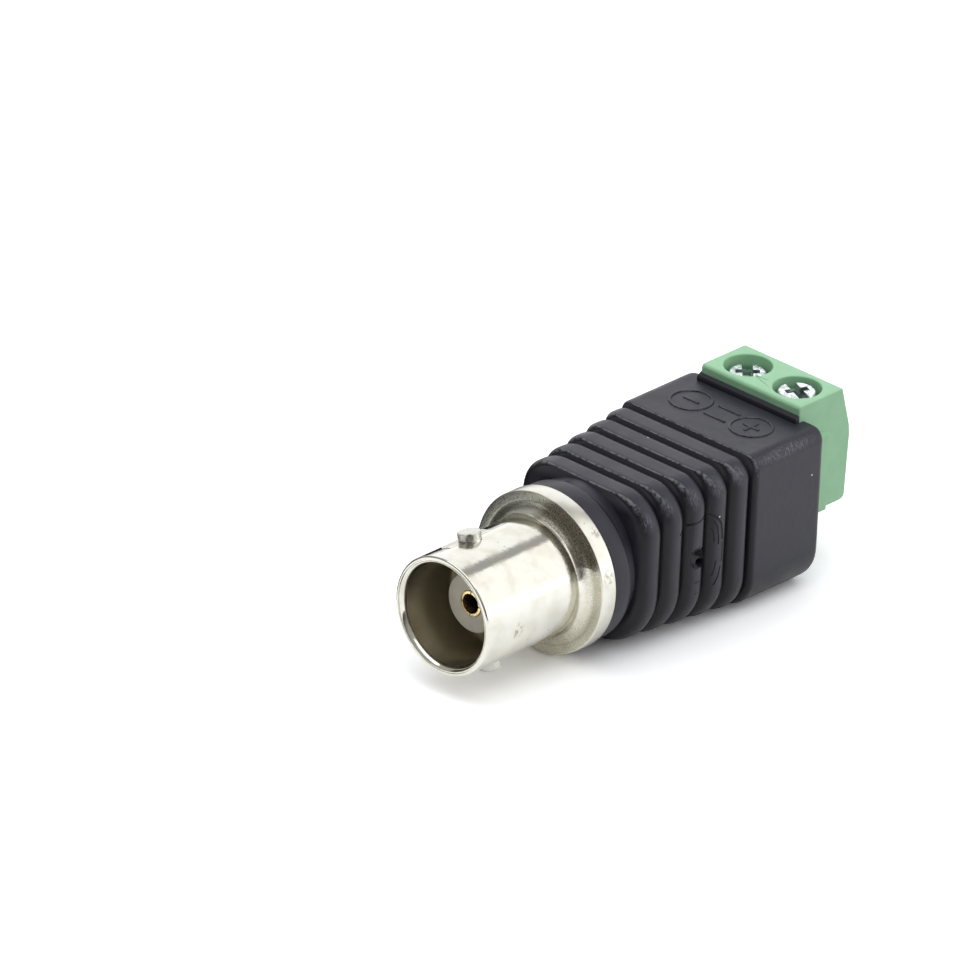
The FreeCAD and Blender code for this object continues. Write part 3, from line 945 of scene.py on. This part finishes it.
def ribbed_body():
    """Moulding: ribs that grow towards the block, its lip, the housing's pocket and the gate mark."""
    body = collar_and_valley()
    for step in range(ridge_count):
        share = step / ridge_count
        start = first_ridge + step * ridge_pitch
        length = ridge_pitch - ridge_groove
        rib = rounded_slab("rib", share, (start, start + length))
        round_outline(rib, start, *ridge_front_round, 10)
        round_outline(rib, start + length, *ridge_rear_round, 10)
        web_range = (start + length / 2, start + length / 2 + ridge_pitch)
        web = rounded_slab("web", share, web_range, groove_side, groove_top)
        combine(body, [rib, web], "UNION")
    block = rounded_slab("block", 1, (block_front, block_rear))
    round_outline(block, block_front, *block_front_round, 6)
    round_outline(block, block_rear, *block_rear_round, 6)
    lip = box(
        "lip",
        (-housing_half - 0.1, housing_half),
        (lip_front, housing_front + 0.3),
        (block_top - 0.3, block_top + lip_height),
    )
    edit(lip)
    select_points(lip, lambda p: near(p.y, lip_front) and p.z > block_top)
    bpy.ops.transform.translate(value=(0, 0, lip_crest - lip_height))
    leave()
    round_edges(lip, lambda p: near(p.y, lip_front) and p.z > block_top, 0.1, 4)
    soften(lip, 0.06, 2)
    combine(body, [block, lip], "UNION")
    pocket = box(
        "pocket",
        (-housing_half, housing_half),
        (housing_front, block_rear + 1),
        (housing_floor, housing_top + 1),
    )
    room = cylinder("room", (0, spigot_rear, 0), (0, room_rear, 0), room_radius, 96)
    seat = cylinder("seat", (0, flange_rear - 1, 0), (0, spigot_rear, 0), spigot_radius, 96)
    combine(body, [pocket, room, seat], "DIFFERENCE")
    gate_mark(body)
    return finish(body, "adapter", BLACK, ["moulded_body"], 40)


def ring(name, x):
    """Raised flat ring on the block's top."""
    low, high = mark_range
    inner, outer = mark_radius - mark_width / 2, mark_radius + mark_width / 2
    outline = [(low, inner), (high, inner), (high, outer), (low, outer), (low, inner)]
    piece = lathe(name, outline, 64, "Z")
    piece.location = (x, mark_y, 0)
    return apply_place(piece)


def polarity_marks():
    """Circled minus, two bars and circled plus, raised from the block's top."""
    half = mark_width / 2
    along = (mark_y - mark_reach, mark_y + mark_reach)
    strokes = [
        ("minus_stroke", (-mark_x - mark_reach, -mark_x + mark_reach), (mark_y - half, mark_y + half)),
        ("plus_across", (mark_x - mark_reach, mark_x + mark_reach), (mark_y - half, mark_y + half)),
        ("plus_along", (mark_x - half, mark_x + half), along),
    ]
    for name, y in (("bar_front", mark_y - bar_offset), ("bar_rear", mark_y + bar_offset)):
        strokes.append((name, bar_range, (y - half, y + half)))
    marks = ring("polarity_marks", -mark_x)
    others = [ring("plus_ring", mark_x)]
    others += [box(name, x_range, y_range, mark_range) for name, x_range, y_range in strokes]
    combine(marks, others, "UNION")
    soften(marks, 0.06, 3)
    return finish(marks, "adapter", BLACK)


# Terminal block

def side_tongue(x, gap):
    """Dovetail tongue that joins blocks side by side, or its slot when a gap is given."""
    root = 0.3
    near_y, far_y = tongue_near - gap, tongue_near + tongue_width + gap
    reach = x + tongue_height + gap
    tongue = box("tongue", (x - root, reach), (near_y, far_y), (housing_floor - gap, tongue_top + gap))
    edit(tongue)
    for y, way in ((near_y, 1), (far_y, -1)):
        select_points(tongue, lambda p: near(p.x, x - root) and near(p.y, y))
        inwards = way * tongue_flare * (root + tongue_height) / tongue_height
        bpy.ops.transform.translate(value=(0, inwards, 0))
    leave()
    return tongue


def wire_funnel(x):
    """Mouth that widens towards the wire's side."""
    rear = knee_rear + 0.05
    middle = (entry_low + entry_high) / 2
    entry = (x - entry_half, x + entry_half)
    funnel = box("funnel", entry, (entry_mouth_inner, rear), (entry_low, entry_high))
    edit(funnel)
    select_points(funnel, lambda p: near(p.y, rear))
    wider = 1 + entry_flare / entry_half
    taller = 1 + 2 * entry_flare / (entry_high - entry_low)
    bpy.ops.transform.resize(value=(wider, 1, taller), center_override=(x, rear, middle))
    leave()
    return funnel


def terminal_housing():
    """Green two-way housing with screw wells, wire mouths, a side tongue and its slot."""
    housing = box(
        "green_housing",
        (-housing_half, housing_half),
        (housing_front, housing_rear),
        (housing_floor, housing_top),
    )
    cut_at(housing, (0, 0, knee_height), (0, 0, 1))
    edit(housing)
    select_points(housing, lambda p: near(p.y, housing_rear) and near(p.z, knee_height))
    bpy.ops.transform.translate(value=(0, knee_rear - housing_rear, 0))
    select_points(housing, lambda p: near(p.y, housing_rear) and near(p.z, housing_floor))
    bpy.ops.transform.translate(value=(0, heel_rear - housing_rear, 0))
    leave()
    round_edges(housing, lambda p: near(p.z, knee_height) and near(p.y, knee_rear), 0.6, 6)
    round_edges(housing, lambda p: near(p.z, housing_floor) and p.y > heel_rear - 1, 0.5, 5)
    round_edges(housing, lambda p: near(p.z, housing_top) and near(p.y, housing_front), 0.3, 5)
    combine(housing, [side_tongue(housing_half, 0.0)], "UNION")
    combine(housing, [side_tongue(-housing_half, side_slot_gap)], "DIFFERENCE")
    soften(housing, 0.1, 3)
    cutters = []
    for x in pole_x.values():
        well_low, well_high = (x, well_y, cage_head), (x, well_y, housing_top + 1)
        cutters.append(cylinder("well", well_low, well_high, well_radius, 64))
        cutters.append(box(
            "cage_pocket",
            (x - cage_half, x + cage_half),
            (housing_front - 1, cage_rear + cage_gap),
            (cage_floor, cage_head + cage_gap),
        ))
        entry = (x - entry_half, x + entry_half)
        cutters.append(box("throat", entry, (cage_rear - 1, knee_rear), (entry_low, entry_high)))
        cutters.append(wire_funnel(x))
    scratch = cylinder("scratch", (-0.85, 35.55, housing_top), (0.2, 35.68, housing_top), 0.07, 6)
    combine(housing, cutters + [scratch], "DIFFERENCE")
    for x in pole_x.values():
        round_edges(
            housing,
            lambda p: near(p.z, housing_top) and near(math.hypot(p.x - x, p.y - well_y), well_radius, 0.02),
            0.12,
            3,
        )
    return finish(housing, "adapter", GREEN, ["terminal_housing"])


def turned_about_well(piece, x, turn):
    """Turn a piece made at the origin, then move it over its well."""
    piece.rotation_euler = (0, 0, math.radians(turn))
    piece.location = (x, well_y, 0)
    return apply_place(piece)


def clamp_screw(pole):
    """Slotted and crossed head, threaded shank, and the rivet that carries the pressure plate."""
    x = pole_x[pole]
    head_top = housing_top - head_depth[pole]
    head_low = head_top - screw_head_height
    plate_top = cage_inner_top - swivel_gap - head_depth[pole]
    shank_low = plate_top + swivel_gap
    rivet_top = plate_top - plate_thickness - swivel_gap
    head = cylinder(pole + "_screw", (0, 0, head_low), (0, 0, head_top), screw_head_radius, 64)
    round_edges(head, lambda p: near(p.z, head_top), 0.24, 4)
    round_edges(head, lambda p: near(p.z, head_low), 0.08, 2)
    thread = [(head_low + 0.05, pilot_radius), (head_low + 0.05, thread_root)]
    turns = int((head_low - shank_low) / thread_pitch)
    for turn in range(turns):
        groove = head_low - 0.1 - turn * thread_pitch
        thread += [
            (groove - 0.10, thread_root),
            (groove - 0.22, screw_radius - 0.02),
            (groove - 0.28, screw_radius - 0.02),
            (groove - 0.40, thread_root),
        ]
    thread += [(shank_low, thread_root), (shank_low, pilot_radius), (head_low + 0.05, pilot_radius)]
    core = cylinder("core", (0, 0, rivet_top - 0.05), (0, 0, head_low + 0.1), pilot_radius + 0.001, 32)
    rivet = cylinder("rivet", (0, 0, rivet_top - rivet_height), (0, 0, rivet_top), rivet_radius, 32)
    round_edges(rivet, lambda p: near(p.z, rivet_top - rivet_height), 0.1, 3)
    combine(head, [lathe("thread", thread, 48, "Z"), core, rivet], "UNION")
    reach = screw_head_radius + 1
    arm = screw_cross_length / 2
    half = screw_cross_width / 2
    slot_half = screw_slot_width / 2
    above = head_top + 1
    deep = (head_top - screw_cross_depth, above)
    recesses = [
        box("slot", (-reach, reach), (-slot_half, slot_half), (head_top - screw_slot_depth, above)),
        box("cross", (-arm, arm), (-half, half), deep),
        box("cross", (-half, half), (-arm, arm), deep),
    ]
    combine(head, recesses, "DIFFERENCE")
    soften(head, 0.04, 2, 50)
    turned_about_well(head, x, slot_turn[pole])
    return finish(head, pole + "_screw", ZINC, [pole + "_clamp_screw"])


# Stage

def studio():
    """Pale floor, a dark card for reflections, room light that is darker ahead, and three panels."""
    floor_lift = 0.86
    bpy.ops.mesh.primitive_plane_add(size=6, location=(0, 0, body_floor * MM))
    floor = started("floor")
    made, board, shader, _ = new_material("pale_floor")
    shader.inputs["Base Color"].default_value = (0.50, 0.50, 0.51, 1)
    shader.inputs["Roughness"].default_value = 0.9
    shader.inputs["Specular IOR Level"].default_value = 0.0
    seen = board.add("LightPath")
    shown = board.maths("ADD", seen.outputs["Is Camera Ray"], seen.outputs["Is Glossy Ray"], clamp=True)
    extra = board.product(shown, floor_lift)
    white = board.add("CombineColor", {"Red": extra, "Green": extra, "Blue": extra})
    lift = board.add("BsdfDiffuse", {"Color": white.outputs[0]})
    both = board.add("AddShader")
    board.feed(both.inputs[0], shader.outputs[0])
    board.feed(both.inputs[1], lift.outputs[0])
    surface = next(node for node in made.node_tree.nodes if node.type == "OUTPUT_MATERIAL")
    board.feed(surface.inputs["Surface"], both.outputs[0])
    floor.data.materials.append(made)

    card = box("dark_card", (-29.0, -15.5), (-9.0, 30.0), (body_floor, 3.8))
    card.scale = (MM, MM, MM)
    apply_place(card)
    made, board, shader, _ = new_material("dark_card")
    shader.inputs["Base Color"].default_value = (0.05, 0.05, 0.055, 1)
    shader.inputs["Roughness"].default_value = 0.9
    card.data.materials.append(made)
    card.visible_camera = False
    card.visible_diffuse = False
    card.visible_shadow = False

    world = bpy.data.worlds.new("studio")
    bpy.context.scene.world = world
    world.use_nodes = True
    tree = world.node_tree
    tree.nodes.clear()
    board = Board(tree)
    seen = board.add("LightPath")
    way = board.add("TexCoord").outputs["Generated"]
    _, along, height = board.add("SeparateXYZ", {"Vector": way}).outputs
    front = board.span(along, -0.35, 0.1, 1.0, 0.0)
    raised = board.span(height, 0.05, 0.55)
    ahead = board.mix(raised, (0.07, 0.07, 0.07, 1), (0.46, 0.46, 0.46, 1))
    room = board.mix(front, (0.46, 0.46, 0.465, 1), ahead)
    low = board.span(height, 0.12, 0.3, 1.0, 0.0)
    behind = board.span(along, 0.1, 0.4)
    backdrop = board.product(low, behind, seen.outputs["Is Glossy Ray"])
    room = board.mix(backdrop, room, (0.95, 0.95, 0.95, 1))
    room_light = board.mix(seen.outputs["Is Camera Ray"], room, (1, 1, 1, 1))
    background = board.add("Background", {"Color": room_light, "Strength": 1.0})
    last = board.add("OutputWorld")
    tree.links.new(background.outputs[0], last.inputs[0])

    def panel(name, place, size, power, tint=(1, 1, 1)):
        light = bpy.data.lights.new(name, "AREA")
        light.shape = "RECTANGLE"
        light.size, light.size_y = size
        light.energy = power
        light.color = tint
        lamp = bpy.data.objects.new(name, light)
        lamp.location = place
        lamp.rotation_euler = (-Vector(place)).to_track_quat("-Z", "Y").to_euler()
        bpy.context.scene.collection.objects.link(lamp)

    panel("right_panel", (0.31, 0.33, 0.25), (0.50, 0.62), 1.0)
    panel("left_panel", (-0.34, 0.40, 0.29), (0.60, 0.45), 0.80, (0.97, 0.98, 1.0))
    panel("top_panel", (0.0, -0.10, 0.60), (0.80, 0.50), 2.1, (0.94, 0.97, 1.0))


def camera():
    """Camera fitted to the photograph: its angles, distance and where the origin falls in it."""
    azimuth, elevation, roll = math.radians(41.895), math.radians(26.803), math.radians(2.708)
    distance = 1.2
    focal_px = 15946.0
    origin_px = (441.87, 616.75)
    image_px = 960
    back = Vector((
        math.sin(azimuth) * math.cos(elevation),
        -math.cos(azimuth) * math.cos(elevation),
        math.sin(elevation),
    ))
    right = Vector((math.cos(azimuth), math.sin(azimuth), 0))
    up = back.cross(right)
    rolled_right = right * math.cos(roll) + up * math.sin(roll)
    rolled_up = up * math.cos(roll) - right * math.sin(roll)
    across = (origin_px[0] - image_px / 2) / focal_px * distance
    rise = -(origin_px[1] - image_px / 2) / focal_px * distance
    data = bpy.data.cameras.new("camera")
    data.sensor_width = 36.0
    data.lens = focal_px / image_px * data.sensor_width
    data.clip_start, data.clip_end = 0.05, 20.0
    seat = bpy.data.objects.new("camera", data)
    turn = Matrix((rolled_right, rolled_up, back)).transposed()
    place = back * distance - rolled_right * across - rolled_up * rise
    seat.matrix_world = Matrix.Translation(place) @ turn.to_4x4()
    bpy.context.scene.collection.objects.link(seat)
    bpy.context.scene.camera = seat


camera()
studio()
plated_jack()
insulator()
gold_contact()
ribbed_body()
polarity_marks()
terminal_housing()
for pole in pole_x:
    clamp_screw(pole)

node_finish = {
    "earth_tag": TIN,
    "ferrite_core": FERRITE,
    "jack_side_winding": ENAMEL,
    "terminal_side_winding": ENAMEL,
    "signal_lead": ENAMEL,
    "earth_lead": ENAMEL,
    "plus_lead": ENAMEL,
    "minus_lead": ENAMEL,
}
for pole in pole_x:
    node_finish[pole + "_wire_cage"] = TIN
    node_finish[pole + "_contact_bar"] = TIN
    node_finish[pole + "_pressure_plate"] = ZINC
for name, made in node_finish.items():
    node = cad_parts[name]
    node.data.materials.clear()
    node.data.materials.append(made)

bpy.context.scene.view_settings.view_transform = "Standard"
